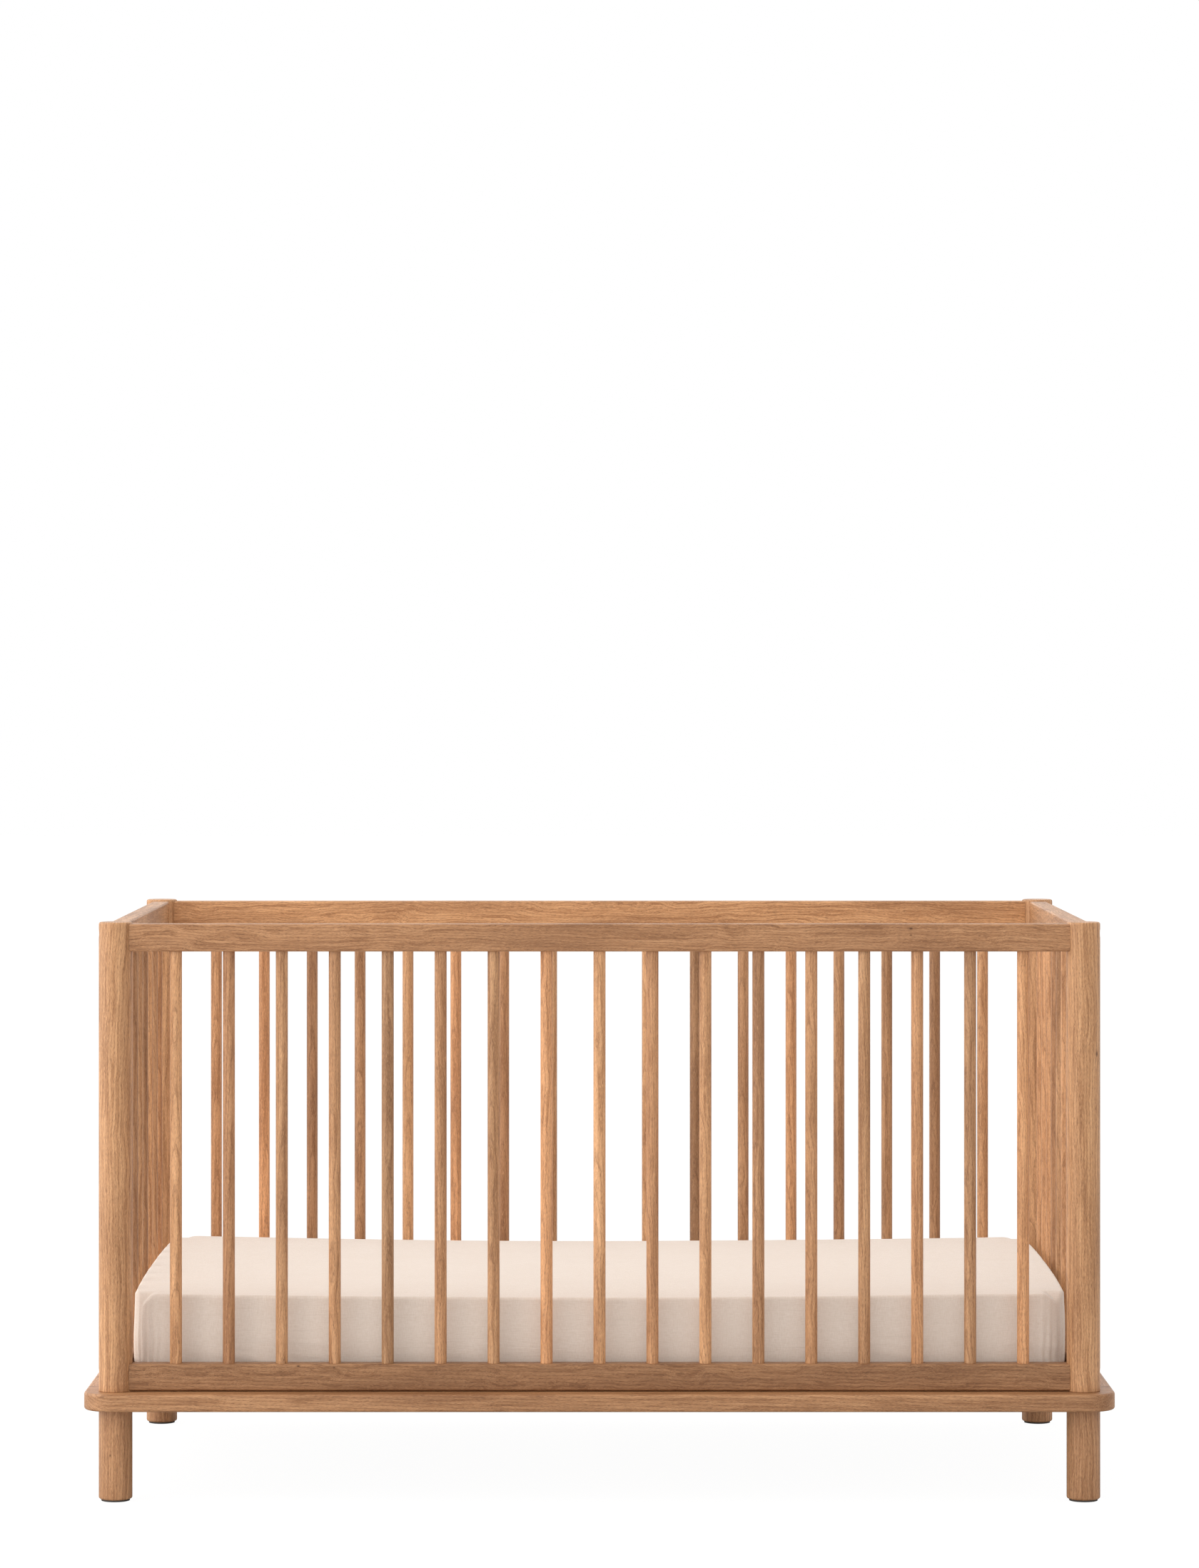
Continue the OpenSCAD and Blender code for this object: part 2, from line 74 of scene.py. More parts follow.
class Shader:
    """Short names for the nodes of one material."""

    def __init__(self, name):
        self.material = bpy.data.materials.new(name)
        self.material.use_nodes = True
        self.tree = self.material.node_tree
        self.surface = self.tree.nodes["Principled BSDF"]

    def node(self, kind, **values):
        made = self.tree.nodes.new(kind)
        for key, value in values.items():
            setattr(made, key, value)
        return made

    def feed(self, socket, value):
        if isinstance(value, bpy.types.NodeSocket):
            self.tree.links.new(value, socket)
        else:
            socket.default_value = value

    def math(self, operation, a, b=0.0, clamp=False):
        made = self.node("ShaderNodeMath", operation=operation, use_clamp=clamp)
        self.feed(made.inputs[0], a)
        self.feed(made.inputs[1], b)
        return made.outputs[0]

    def vector(self, operation, a, b=(0.0, 0.0, 0.0)):
        made = self.node("ShaderNodeVectorMath", operation=operation)
        self.feed(made.inputs[0], a)
        self.feed(made.inputs[1], b)
        return made.outputs["Value" if operation in ("LENGTH", "DISTANCE") else "Vector"]

    def split(self, vector):
        made = self.node("ShaderNodeSeparateXYZ")
        self.feed(made.inputs[0], vector)
        return made.outputs

    def join(self, x, y, z):
        made = self.node("ShaderNodeCombineXYZ")
        for socket, value in zip(made.inputs, (x, y, z)):
            self.feed(socket, value)
        return made.outputs[0]

    def noise(self, vector, scale=1.0, detail=2.0, roughness=0.5, distortion=0.0):
        made = self.node("ShaderNodeTexNoise")
        self.feed(made.inputs["Vector"], vector)
        made.inputs["Scale"].default_value = scale
        made.inputs["Detail"].default_value = detail
        made.inputs["Roughness"].default_value = roughness
        made.inputs["Distortion"].default_value = distortion
        return made.outputs["Fac"]

    def scatter(self, count, seed):
        """A value from 0 to 1 that looks random from one whole count to the next."""
        turn = self.math("SINE", self.math("ADD", self.math("MULTIPLY", count, 12.9898), seed))
        return self.math("FRACT", self.math("ADD", self.math("MULTIPLY", turn, 97.13), 100.0))

    def span(self, value, low, high, to_low=0.0, to_high=1.0):
        made = self.node("ShaderNodeMapRange")
        self.feed(made.inputs[0], value)
        for socket, number in zip(made.inputs[1:5], (low, high, to_low, to_high)):
            socket.default_value = number
        return made.outputs[0]

    def mix(self, factor, a, b, blend="MIX"):
        made = self.node("ShaderNodeMix", data_type="RGBA", blend_type=blend)
        self.feed(made.inputs["Factor"], factor)
        self.feed(made.inputs[6], a)
        self.feed(made.inputs[7], b)
        return made.outputs[2]

    def bump(self, height, distance, strength=1.0, normal=None):
        made = self.node("ShaderNodeBump")
        made.inputs["Strength"].default_value = strength
        made.inputs["Distance"].default_value = distance
        self.feed(made.inputs["Height"], height)
        if normal is not None:
            self.feed(made.inputs["Normal"], normal)
        return made.outputs[0]

    def place(self):
        """Object coordinates: metres in the crib's frame at rest, and they ride with the piece."""
        return self.node("ShaderNodeTexCoord").outputs["Object"]


def rgba(r, g, b):
    return (r, g, b, 1.0)


# ---------------------------------------------------------------- wood

# Orders that turn (x, y, z) so that the grain runs along the third axis
GRAIN_ORDER = {"x": (1, 2, 0), "y": (2, 0, 1), "z": (0, 1, 2)}
OAK = {
    "light": (0.665, 0.362, 0.180),
    "mid": (0.480, 0.236, 0.104),
    "dark": (0.265, 0.115, 0.045),
    "pore": (0.120, 0.050, 0.020),
}
BEECH = {
    "light": (0.74, 0.53, 0.34),
    "mid": (0.66, 0.45, 0.27),
    "dark": (0.52, 0.33, 0.18),
    "pore": (0.36, 0.21, 0.11),
}
RING = 0.0040           # metres of growth a year


def wood(name, grain, colors=OAK, seed=0.0, tone_and_painted_shade=(1.0, 1.0, 1.0), row=None, knots=(),
         lean=0.02, figure=1.0):
    """Sawn timber with its grain along one axis.

    row is what spindle_row gives for a node that holds a row of spindles, and each of them gets its
    own timber. knots are (place, radius). lean is how fast the cut crosses the growth rings, and
    figure how wavy the grain is. The colour multiplier is the timber's tone, and on the legs and the
    listed rails it is painted shade and painted light.
    """
    s = Shader(name)
    place = s.place()
    axes = s.split(place)
    turned = s.join(*(axes[i] for i in GRAIN_ORDER[grain]))
    start = (math.sin(seed * 12.9) * 3.1, math.cos(seed * 7.7) * 2.3, math.sin(seed * 4.1) * 5.7)
    turned = s.vector("ADD", turned, start)
    if row:
        axis, first, pitch, tone_seed, hue_seed, levels = row
        count = s.math("SUBTRACT", axes["xyz".index(axis)], first)
        count = s.math("ROUND", s.math("DIVIDE", count, pitch))
        tone = s.scatter(count, tone_seed)
        hue = s.scatter(count, hue_seed)
        own = s.join(s.scatter(count, 1.1), s.scatter(count, 2.3), s.scatter(count, 4.9))
        turned = s.vector("ADD", turned, own)

    # Grain that wanders: long bends, and short waves that tilt the fibres
    bend = s.noise(s.vector("MULTIPLY", turned, (7.0, 7.0, 1.8)), 1.0, 2.0)
    wave = s.noise(s.vector("MULTIPLY", turned, (34.0, 34.0, 17.0)), 1.0, 1.0)
    shift = s.math("MULTIPLY", s.math("SUBTRACT", bend, 0.5), 0.034)
    shift = s.math("ADD", shift, s.math("MULTIPLY", s.math("SUBTRACT", wave, 0.5), 0.007 * figure))
    bent = s.vector("ADD", turned, s.join(shift, shift, 0.0))

    # Growth rings round a pith outside the piece
    parts = s.split(bent)
    pith_x = s.math("SUBTRACT", parts[0], start[0] + 0.055 * math.cos(seed * 2.1))
    pith_y = s.math("SUBTRACT", parts[1], start[1] + 0.090 * math.sin(seed * 3.3) - 0.35)
    radius = s.vector("LENGTH", s.join(pith_x, pith_y, 0.0))
    radius = s.math("ADD", radius, s.math("MULTIPLY", parts[2], lean))
    ring = s.math("FRACT", s.math("DIVIDE", radius, RING))
    early = s.math("MULTIPLY", s.span(ring, 0.0, 0.10), s.span(ring, 0.42, 0.14))

    fibre = s.noise(s.vector("MULTIPLY", bent, (900.0, 900.0, 40.0)), 1.0, 3.0, 0.6)
    streak = s.noise(s.vector("MULTIPLY", bent, (190.0, 190.0, 6.0)), 1.0, 3.0, 0.65)
    cloud = s.noise(s.vector("MULTIPLY", turned, (24.0, 24.0, 4.0)), 1.0, 2.0)
    dash = s.noise(s.vector("MULTIPLY", bent, (1500.0, 1500.0, 190.0)), 1.0, 1.0, 0.5)
    fleck = s.noise(s.vector("MULTIPLY", bent, (1100.0, 1100.0, 130.0)), 1.0, 1.0, 0.5)
    pores = s.math("MULTIPLY", s.span(dash, 0.50, 0.64), s.span(early, 0.0, 1.0, 0.55, 1.0))

    light, mid, dark, pore = (rgba(*colors[key]) for key in ("light", "mid", "dark", "pore"))
    color = s.mix(s.span(streak, 0.36, 0.62), light, mid)
    color = s.mix(s.span(streak, 0.54, 0.70, 0.0, 0.60), color, dark)
    color = s.mix(s.span(cloud, 0.44, 0.72, 0.0, 0.60), color, dark)
    color = s.mix(s.math("MULTIPLY", early, 0.40), color, dark)
    color = s.mix(s.span(fibre, 0.45, 0.75, 0.0, 0.48), color, dark)
    color = s.mix(s.span(fleck, 0.56, 0.70, 0.0, 0.50), color, light)
    color = s.mix(s.math("MULTIPLY", pores, 0.52), color, pore)
    for spot, size in knots:
        squeeze = [1.0, 1.0, 1.0]
        squeeze["xyz".index(grain)] = 0.55
        away = s.vector("LENGTH", s.vector("MULTIPLY", s.vector("SUBTRACT", place, spot), tuple(squeeze)))
        away = s.math("ADD", away, s.math("MULTIPLY", s.math("SUBTRACT", streak, 0.5), size))
        color = s.mix(s.span(away, size * 2.2, size * 0.8, 0.0, 0.35), color, dark)
        color = s.mix(s.span(away, size, size * 0.4, 0.0, 0.90), color, pore)
    if row:
        level = s.span(tone, 0.0, 1.0, *levels)
        pink = s.mix(hue, rgba(0.97, 1.01, 1.03), rgba(1.04, 0.98, 0.94))
        shade = s.vector("MULTIPLY", s.join(level, level, level), tone_and_painted_shade)
        color = s.mix(1.0, s.mix(1.0, color, pink, "MULTIPLY"), shade, "MULTIPLY")
    else:
        # The multiplier paints shade on the legs and light or shade on the listed rails
        color = s.mix(1.0, color, rgba(*tone_and_painted_shade), "MULTIPLY")
    s.feed(s.surface.inputs["Base Color"], color)
    s.feed(s.surface.inputs["Roughness"], s.span(fibre, 0.3, 0.8, 0.38, 0.55))
    s.surface.inputs["Specular IOR Level"].default_value = 0.45
    relief = s.math("SUBTRACT", s.math("MULTIPLY", fibre, 0.5), pores)
    s.feed(s.surface.inputs["Normal"], s.bump(relief, 0.00025, 0.6))
    return s.material


def dress(node, material):
    """Gives a CAD node one material in all its slots."""
    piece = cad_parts[node]
    if not piece.material_slots:
        piece.data.materials.append(material)
    for holder in piece.material_slots:
        holder.material = material


def spindle_row(node, axis, count, tone_seed, hue_seed, levels):
    """A row of spindles from its node's box: its axis, first centre and pitch, and how its timber varies.

    levels are how bright its darkest and lightest spindles are.
    """
    low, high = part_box(node)
    i = "xyz".index(axis)
    radius = (high[1 - i] - low[1 - i]) / 2
    first = low[i] + radius
    return axis, first, (high[i] - radius - first) / (count - 1), tone_seed, hue_seed, levels


SIDES = (("front", "x"), ("back", "x"), ("left", "y"), ("right", "y"))
SIDE_COUNT = {"x": 17, "y": 8}
# Seeds of each row's scatter of brightness and hue
SPINDLE_SEEDS = {"front": (1.0, 2.0), "back": (3.0, 4.0), "left": (0.7, 1.9), "right": (3.1, 5.2)}
SPINDLE_LEVELS = {"front": (0.85, 1.36), "back": (0.74, 1.36), "left": (0.80, 1.25), "right": (0.80, 1.25)}
POST_TINT = (1.06, 1.06, 1.04)
# Painted shade: the legs are darkened for the shade they stand in under the plinth
LEG_PAINTED_SHADE = (0.92, 0.90, 0.88)
RAIL_TINT = (0.95, 0.94, 0.92)
# Painted light and shade on some rails: the front top rail, front bottom rail and plinth front are
# darkened for the shade on them, and the back top rail is lightened for the light it catches
RAIL_PAINTED_LIGHT_AND_SHADE = {
    "top_rail_front": (0.86, 0.82, 0.78),
    "top_rail_back": (1.12, 1.10, 1.04),
    "bottom_rail_front": (0.68, 0.65, 0.61),
    "plinth_front": (0.85, 0.82, 0.78),
}
RAIL_FIGURE = {"bottom_rail": 3.6, "top_rail": 2.0}
# Knots as shares of their piece's box, with their radius in metres
KNOTS = {
    "post_front_right": (((0.85, 0.17, 0.72), 0.0025),),
    "leg_front_left": (((0.38, 0.0, 0.50), 0.0015),),
    "bottom_rail_front": (((0.180, 0.0, 0.93), 0.0013), ((0.218, 0.0, 0.87), 0.0011)),
    "top_rail_front": (((0.831, 0.0, 0.84), 0.0020), ((0.831, 0.0, 0.60), 0.0009)),
}


def knots_in(node):
    """The places and radii of a node's knots."""
    low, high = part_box(node)
    knots = []
    for shares, radius in KNOTS.get(node, ()):
        place = tuple(a + (b - a) * share for a, b, share in zip(low, high, shares))
        knots.append((place, radius))
    return knots


def dress_wood():
    seed = 1
    for end in ("front_left", "front_right", "back_left", "back_right"):
        post = f"post_{end}"
        leg = f"leg_{end}"
        post_wood = wood(f"oak_{post}", "z", seed=seed, tone_and_painted_shade=POST_TINT, knots=knots_in(post), lean=0.012)
        leg_wood = wood(f"oak_{leg}", "z", seed=seed + 0.37, tone_and_painted_shade=LEG_PAINTED_SHADE, knots=knots_in(leg))
        dress(post, post_wood)
        dress(leg, leg_wood)
        seed += 1
    for level in ("top_rail", "bottom_rail", "plinth"):
        figure = RAIL_FIGURE.get(level, 1.0)
        for side, grain in SIDES:
            node = f"{level}_{side}"
            # For the listed rails this tint is painted shade or painted light, and for the rest it is the
            # timber's tone
            tone_and_painted_shade = RAIL_PAINTED_LIGHT_AND_SHADE.get(node, RAIL_TINT)
            knots = knots_in(node)
            looks = {"tone_and_painted_shade": tone_and_painted_shade, "knots": knots, "lean": 0.03, "figure": figure}
            dress(node, wood(f"oak_{node}", grain, seed=seed, **looks))
            seed += 1
    for side, axis in SIDES:
        node = f"spindles_{side}"
        row = spindle_row(node, axis, SIDE_COUNT[axis], *SPINDLE_SEEDS[side], SPINDLE_LEVELS[side])
        dress(node, wood(f"oak_{node}", "z", seed=seed, row=row, lean=0.03))
        seed += 1
    for side, grain in SIDES:
        dress(f"base_bar_{side}", wood(f"beech_bar_{side}", grain, BEECH, seed))
        seed += 1
    slats = sorted(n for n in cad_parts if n.startswith("slat_") and n != "slat_screws")
    for slat in slats:
        dress(slat, wood(f"beech_{slat}", "y", BEECH, seed))
        seed += 1
    dowel_wood = wood("beech_dowels", "x", BEECH, seed)
    for node in ("rail_dowels", "plinth_dowels", "base_dowels"):
        dress(node, dowel_wood)


# ---------------------------------------------------------------- metal and glides

def metal(name, color, roughness):
    s = Shader(name)
    scratches = s.noise(s.vector("MULTIPLY", s.place(), (1500.0, 1500.0, 160.0)), 1.0, 3.0)
    worn = s.noise(s.place(), 240.0, 2.0)
    base = s.mix(s.span(worn, 0.4, 0.7, 0.0, 0.35), rgba(*color), rgba(*(c * 0.72 for c in color)))
    s.feed(s.surface.inputs["Base Color"], base)
    s.surface.inputs["Metallic"].default_value = 1.0
    s.feed(s.surface.inputs["Roughness"], s.span(scratches, 0.3, 0.7, roughness - 0.06, roughness + 0.1))
    s.feed(s.surface.inputs["Normal"], s.bump(scratches, 0.00004, 0.5))
    return s.material


def dress_hardware():
    steel = metal("zinc_steel", (0.62, 0.62, 0.63), 0.34)
    for node in ("leg_studs", "stud_inserts", "rail_bolts", "barrel_nuts", "slat_screws"):
        dress(node, steel)
    dress("support_inserts", metal("brass", (0.78, 0.56, 0.24), 0.30))
    s = Shader("glide_felt")
    fuzz = s.noise(s.place(), 1400.0, 3.0)
    s.feed(s.surface.inputs["Base Color"], s.mix(fuzz, rgba(0.045, 0.040, 0.036), rgba(0.10, 0.09, 0.08)))
    s.surface.inputs["Roughness"].default_value = 0.95
    s.feed(s.surface.inputs["Normal"], s.bump(fuzz, 0.0003, 0.8))
    dress("leg_glides", s.material)


# ---------------------------------------------------------------- mattress and fitted sheet

# Half sizes and heights of the sheet's outer face before it settles, in metres
sheet_low, sheet_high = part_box("fitted_sheet")
HALF_X = sheet_high[0] - 2.5 * MM       # room for its bowed ends
HALF_Y = sheet_high[1]
CORNER = 0.040          # radius of its corners seen from above
TOP = sheet_high[2] - 5.9 * MM          # room for its raised ends
BOTTOM = sheet_low[2] + 0.15 * MM
TOP_EDGE = 0.0045       # radius of the sewn top edge
LOW_EDGE = 0.016        # radius where the sheet turns under
HEM_REACH = 0.075       # how far it turns under
HEM_CORNER = 0.032      # corner radius of its hem
SHEET_STEP = 0.0050     # size of its cells
CORNER_STEP = 0.0021    # finer cells round the corners, for the gathers
PAD_STEP = 0.0125
PAD_INSET = 0.0030      # from the sheet's outer face to the mattress
SHEET_THICKNESS = 0.0011
PRESSURE = 4.0          # of the air that swells the mattress
SWELL_FRAMES = 20
SWELL_MOST = 0.006
# Foam resists: how much of the swelling each axis keeps
SWELL_KEPT = (0.2, 0.5, 0.25)
# How the foam settles: its ends' rise at mid-width and what is added toward the back, its corners'
# drop, and how far its end and side walls bow out
LEFT_RISE = (0.0060, 0.0018)
RIGHT_RISE = (0.0056, 0.0002)
CORNER_DROP = 0.018
END_BOW = 0.0095
SIDE_BOW = 0.0022
# The gathers round each corner of the sheet, and the seam in their middle
GATHER_PITCH = 0.0105
GATHER_DEPTH = 0.0016
SEAM_HEIGHT = 0.0011
SEAM_WIDTH = 0.0016


def smooth(value, low, high):
    t = np.clip((value - low) / (high - low), 0.0, 1.0)
    return t * t * (3 - 2 * t)


def waves(points, scale, seed=0.0):
    """Smooth noise from -1 to 1 at each point, stretched by scale along each axis."""
    moved = points * np.array(scale) + seed
    return np.array([noise.noise(p) for p in moved.tolist()])


def rounded_plan(x, y, half_x, half_y, corner):
    """Bends the corner squares of a rectangle's grid into quarter discs."""
    over_x = np.abs(x) - (half_x - corner)
    over_y = np.abs(y) - (half_y - corner)
    inside = (over_x > 1e-7) & (over_y > 1e-7)
    reach = np.maximum(np.maximum(over_x, over_y), 1e-9)
    angle = np.clip(np.minimum(over_x, over_y) / reach, 0, 1) * math.pi / 4
    far = reach * np.cos(angle)
    near = reach * np.sin(angle)
    bent_x = np.sign(x) * (half_x - corner + np.where(over_x >= over_y, far, near))
    bent_y = np.sign(y) * (half_y - corner + np.where(over_x >= over_y, near, far))
    return np.where(inside, bent_x, x), np.where(inside, bent_y, y)


def spaced(half, corner, cells):
    """Places from -half to half, with their own number of cells in the corners and between."""
    in_corner, between = cells
    left = np.linspace(-half, corner - half, in_corner + 1)
    middle = np.linspace(corner - half, half - corner, between + 1)
    return np.concatenate([left[:-1], middle, -left[-2::-1]])


def cap_grid(half_x, half_y, corner, cells):
    """A rounded rectangle of quads: its plan points, faces and anticlockwise rim."""
    in_corner, along, across = cells
    across_x = spaced(half_x, corner, (in_corner, along))
    across_y = spaced(half_y, corner, (in_corner, across))
    x, y = np.meshgrid(across_x, across_y)
    at = np.arange(x.size).reshape(x.shape)
    x, y = rounded_plan(x.ravel(), y.ravel(), half_x, half_y, corner)
    faces = np.stack([at[:-1, :-1], at[:-1, 1:], at[1:, 1:], at[1:, :-1]], -1).reshape(-1, 4)
    rim = np.concatenate([at[0, :-1], at[:-1, -1], at[-1, :0:-1], at[:0:-1, 0]])
    return x, y, faces, rim


def at_height(x, y, z):
    return np.stack([x, y, np.full_like(x, z)], -1)


def shell(inset, step, hem):
    """The mattress's skin, inset from the sheet's outer face: closed, or turned under to a hem."""
    half_x, half_y, corner = HALF_X - inset, HALF_Y - inset, CORNER - inset
    top, bottom = TOP - inset, BOTTOM + inset
    edge, low_edge = TOP_EDGE - inset, LOW_EDGE - inset
    in_corner = round(corner / min(step, CORNER_STEP if hem else step))
    cells = (in_corner, round(2 * (half_x - corner) / step), round(2 * (half_y - corner) / step))
    x, y, faces, rim = cap_grid(half_x - edge, half_y - edge, corner - edge, cells)
    rim_x, rim_y = x[rim], y[rim]
    out_x = np.sign(rim_x) * np.clip(np.abs(rim_x) - (half_x - corner), 0, None)
    out_y = np.sign(rim_y) * np.clip(np.abs(rim_y) - (half_y - corner), 0, None)
    out_long = np.hypot(out_x, out_y)
    out_x, out_y = out_x / out_long, out_y / out_long

    profile = []
    for turn in np.linspace(0, math.pi / 2, 6)[1:]:
        profile.append((edge * math.sin(turn), top - edge * (1 - math.cos(turn))))
    tall = top - edge - bottom - low_edge
    for drop in np.linspace(0, tall, round(tall / (0.6 * step)) + 1)[1:]:
        profile.append((edge, top - edge - drop))
    for turn in np.linspace(0, math.pi / 2, 6)[1:]:
        profile.append((edge - low_edge * (1 - math.cos(turn)), bottom + low_edge * (1 - math.sin(turn))))
    rings = [at_height(rim_x + out_x * out, rim_y + out_y * out, z) for out, z in profile]
    if hem:
        last = rings[-1]
        flat_x, flat_y = half_x - HEM_REACH - HEM_CORNER, half_y - HEM_REACH - HEM_CORNER
        hem_x = np.clip(rim_x / (half_x - corner), -1, 1) * flat_x + out_x * HEM_CORNER
        hem_y = np.clip(rim_y / (half_y - corner), -1, 1) * flat_y + out_y * HEM_CORNER
        goal = at_height(hem_x, hem_y, bottom)
        for share in np.linspace(0, 1, round(HEM_REACH / step) + 1)[1:]:
            rings.append(last * (1 - share) + goal * share)

    points = [at_height(x, y, top), *rings]
    above = rim
    for i in range(len(rings)):
        below = x.size + i * rim.size + np.arange(rim.size)
        band = np.stack([above, below, np.roll(below, -1), np.roll(above, -1)], -1)
        faces = np.concatenate([faces, band])
        above = below
    if not hem:
        flat = (half_x - low_edge, half_y - low_edge, corner - low_edge)
        cap_x, cap_y, cap_faces, _ = cap_grid(*flat, cells)
        start = sum(len(p) for p in points)
        points.append(at_height(cap_x, cap_y, bottom))
        faces = np.concatenate([faces, cap_faces[:, ::-1] + start])
    return np.concatenate(points), faces


def settle(points):
    """Lifts the plain shell's ends, hollows its middle, drops its corners and bulges its walls."""
    x, y, z = points.T
    across = y / HALF_Y
    along = np.abs(x)
    height = np.clip((z - BOTTOM) / (TOP - BOTTOM), 0, 1)
    swell = np.clip(along / 0.60, 0, 1.1) ** 1.7
    left_rise = LEFT_RISE[0] + LEFT_RISE[1] * across
    right_rise = RIGHT_RISE[0] + RIGHT_RISE[1] * across
    rise = swell * np.where(x < 0, left_rise, right_rise)
    rise += 0.0015 * smooth(along, 0.600, 0.655) * (1 - across ** 2) + 0.0013 * across
    over_x = along - (HALF_X - CORNER)
    over_y = np.abs(y) - (HALF_Y - CORNER)
    near_corner = smooth(np.minimum(over_x, over_y), 0.004, 0.034) ** 1.5
    near_corner *= np.where(y > 0, 0.4, 1.0)
    new_z = z + height * (rise - CORNER_DROP * near_corner)
    belly = 0.55 + 0.45 * np.sin(math.pi * height)
    end_bow = END_BOW * (1 - np.abs(across) ** 2.5) * smooth(along, HALF_X - 0.10, HALF_X - 0.01)
    side_bow = SIDE_BOW * (1 - (x / HALF_X) ** 2) * smooth(np.abs(y), HALF_Y - 0.08, HALF_Y - 0.01)
    new_x = x + np.sign(x) * end_bow * belly
    new_y = y + np.sign(y) * side_bow * belly
    return np.stack([new_x, new_y, new_z], -1)


def new_piece(name, points, faces):
    mesh = bpy.data.meshes.new(name)
    mesh.from_pydata(points.tolist(), [], faces.tolist())
    work = bmesh.new()
    work.from_mesh(mesh)
    bmesh.ops.remove_doubles(work, verts=work.verts, dist=1e-6)
    bmesh.ops.recalc_face_normals(work, faces=work.faces)
    for face in work.faces:
        face.smooth = True
    work.to_mesh(mesh)
    work.free()
    piece = bpy.data.objects.new(name, mesh)
    bpy.context.scene.collection.objects.link(piece)
    return piece


def mesh_points(mesh):
    flat = np.empty(len(mesh.vertices) * 3)
    mesh.vertices.foreach_get("co", flat)
    return flat.reshape(-1, 3)


def set_points(mesh, points):
    mesh.vertices.foreach_set("co", points.ravel())
    mesh.update()


def inflate(piece, pressure, frames, most):
    """Cloth simulation of a filled cover. Gives how far each point moved, at most so far."""
    start = mesh_points(piece.data)
    cloth = piece.modifiers.new("cloth", "CLOTH")
    settings = cloth.settings
    settings.quality = 5
    settings.mass = 0.3
    settings.tension_stiffness = 25.0
    settings.compression_stiffness = 12.0
    settings.bending_stiffness = 1.5
    settings.use_pressure = True
    settings.uniform_pressure_force = pressure
    settings.effector_weights.gravity = 0.0
    cloth.collision_settings.use_collision = False
    cloth.collision_settings.use_self_collision = False
    cloth.point_cache.frame_start = 1
    cloth.point_cache.frame_end = frames
    scene = bpy.context.scene
    for number in range(1, frames + 1):
        scene.frame_set(number)
    settled = piece.evaluated_get(bpy.context.evaluated_depsgraph_get())
    moved = mesh_points(settled.data) - start
    piece.modifiers.remove(cloth)
    scene.frame_set(1)
    length = np.linalg.norm(moved, axis=1, keepdims=True)
    return moved * np.minimum(1.0, most / np.maximum(length, 1e-9))


def add_mattress():
    """A foam mattress in its cover, swollen by a cloth simulation and settled on the slats."""
    points, faces = shell(PAD_INSET, PAD_STEP, hem=False)
    mattress = new_piece("mattress_pad", points, faces)
    rest = mesh_points(mattress.data)
    moved = np.zeros_like(rest)
    moved = inflate(mattress, PRESSURE, SWELL_FRAMES, SWELL_MOST) * np.array(SWELL_KEPT)
    # It lies on the slats, so its underside can't swell downward
    underside = rest[:, 2] < BOTTOM + 0.02
    moved[:, 2] = np.where(underside, np.clip(moved[:, 2], 0, None), moved[:, 2])
    set_points(mattress.data, settle(rest + moved))
    return mattress, rest, moved


def add_sheet(rest, moved):
    """The fitted sheet: the mattress's swelling, gathers at its corners and a few drag lines."""
    points, faces = shell(0.0, SHEET_STEP, hem=True)
    sheet = new_piece("sheet_cloth", points, faces)
    flat = mesh_points(sheet.data)
    tree = KDTree(len(rest))
    for i, p in enumerate(rest.tolist()):
        tree.insert(p, i)
    tree.balance()
    carried = np.zeros_like(flat)
    for i, p in enumerate(flat.tolist()):
        near = tree.find_n(p, 4)
        weights = np.array([1 / (d + 1e-4) for _, _, d in near])
        carried[i] = (moved[[j for _, j, _ in near]] * weights[:, None]).sum(0) / weights.sum()
    shaped = settle(flat + carried)
    set_points(sheet.data, shaped)
    normals = np.empty(shaped.size)
    sheet.data.vertices.foreach_get("normal", normals)
    normals = normals.reshape(-1, 3)
    set_points(sheet.data, shaped + normals * folds(flat, normals)[:, None])
    solid = sheet.modifiers.new("thickness", "SOLIDIFY")
    solid.thickness = SHEET_THICKNESS
    solid.offset = -1.0
    solid.use_even_offset = False
    return sheet


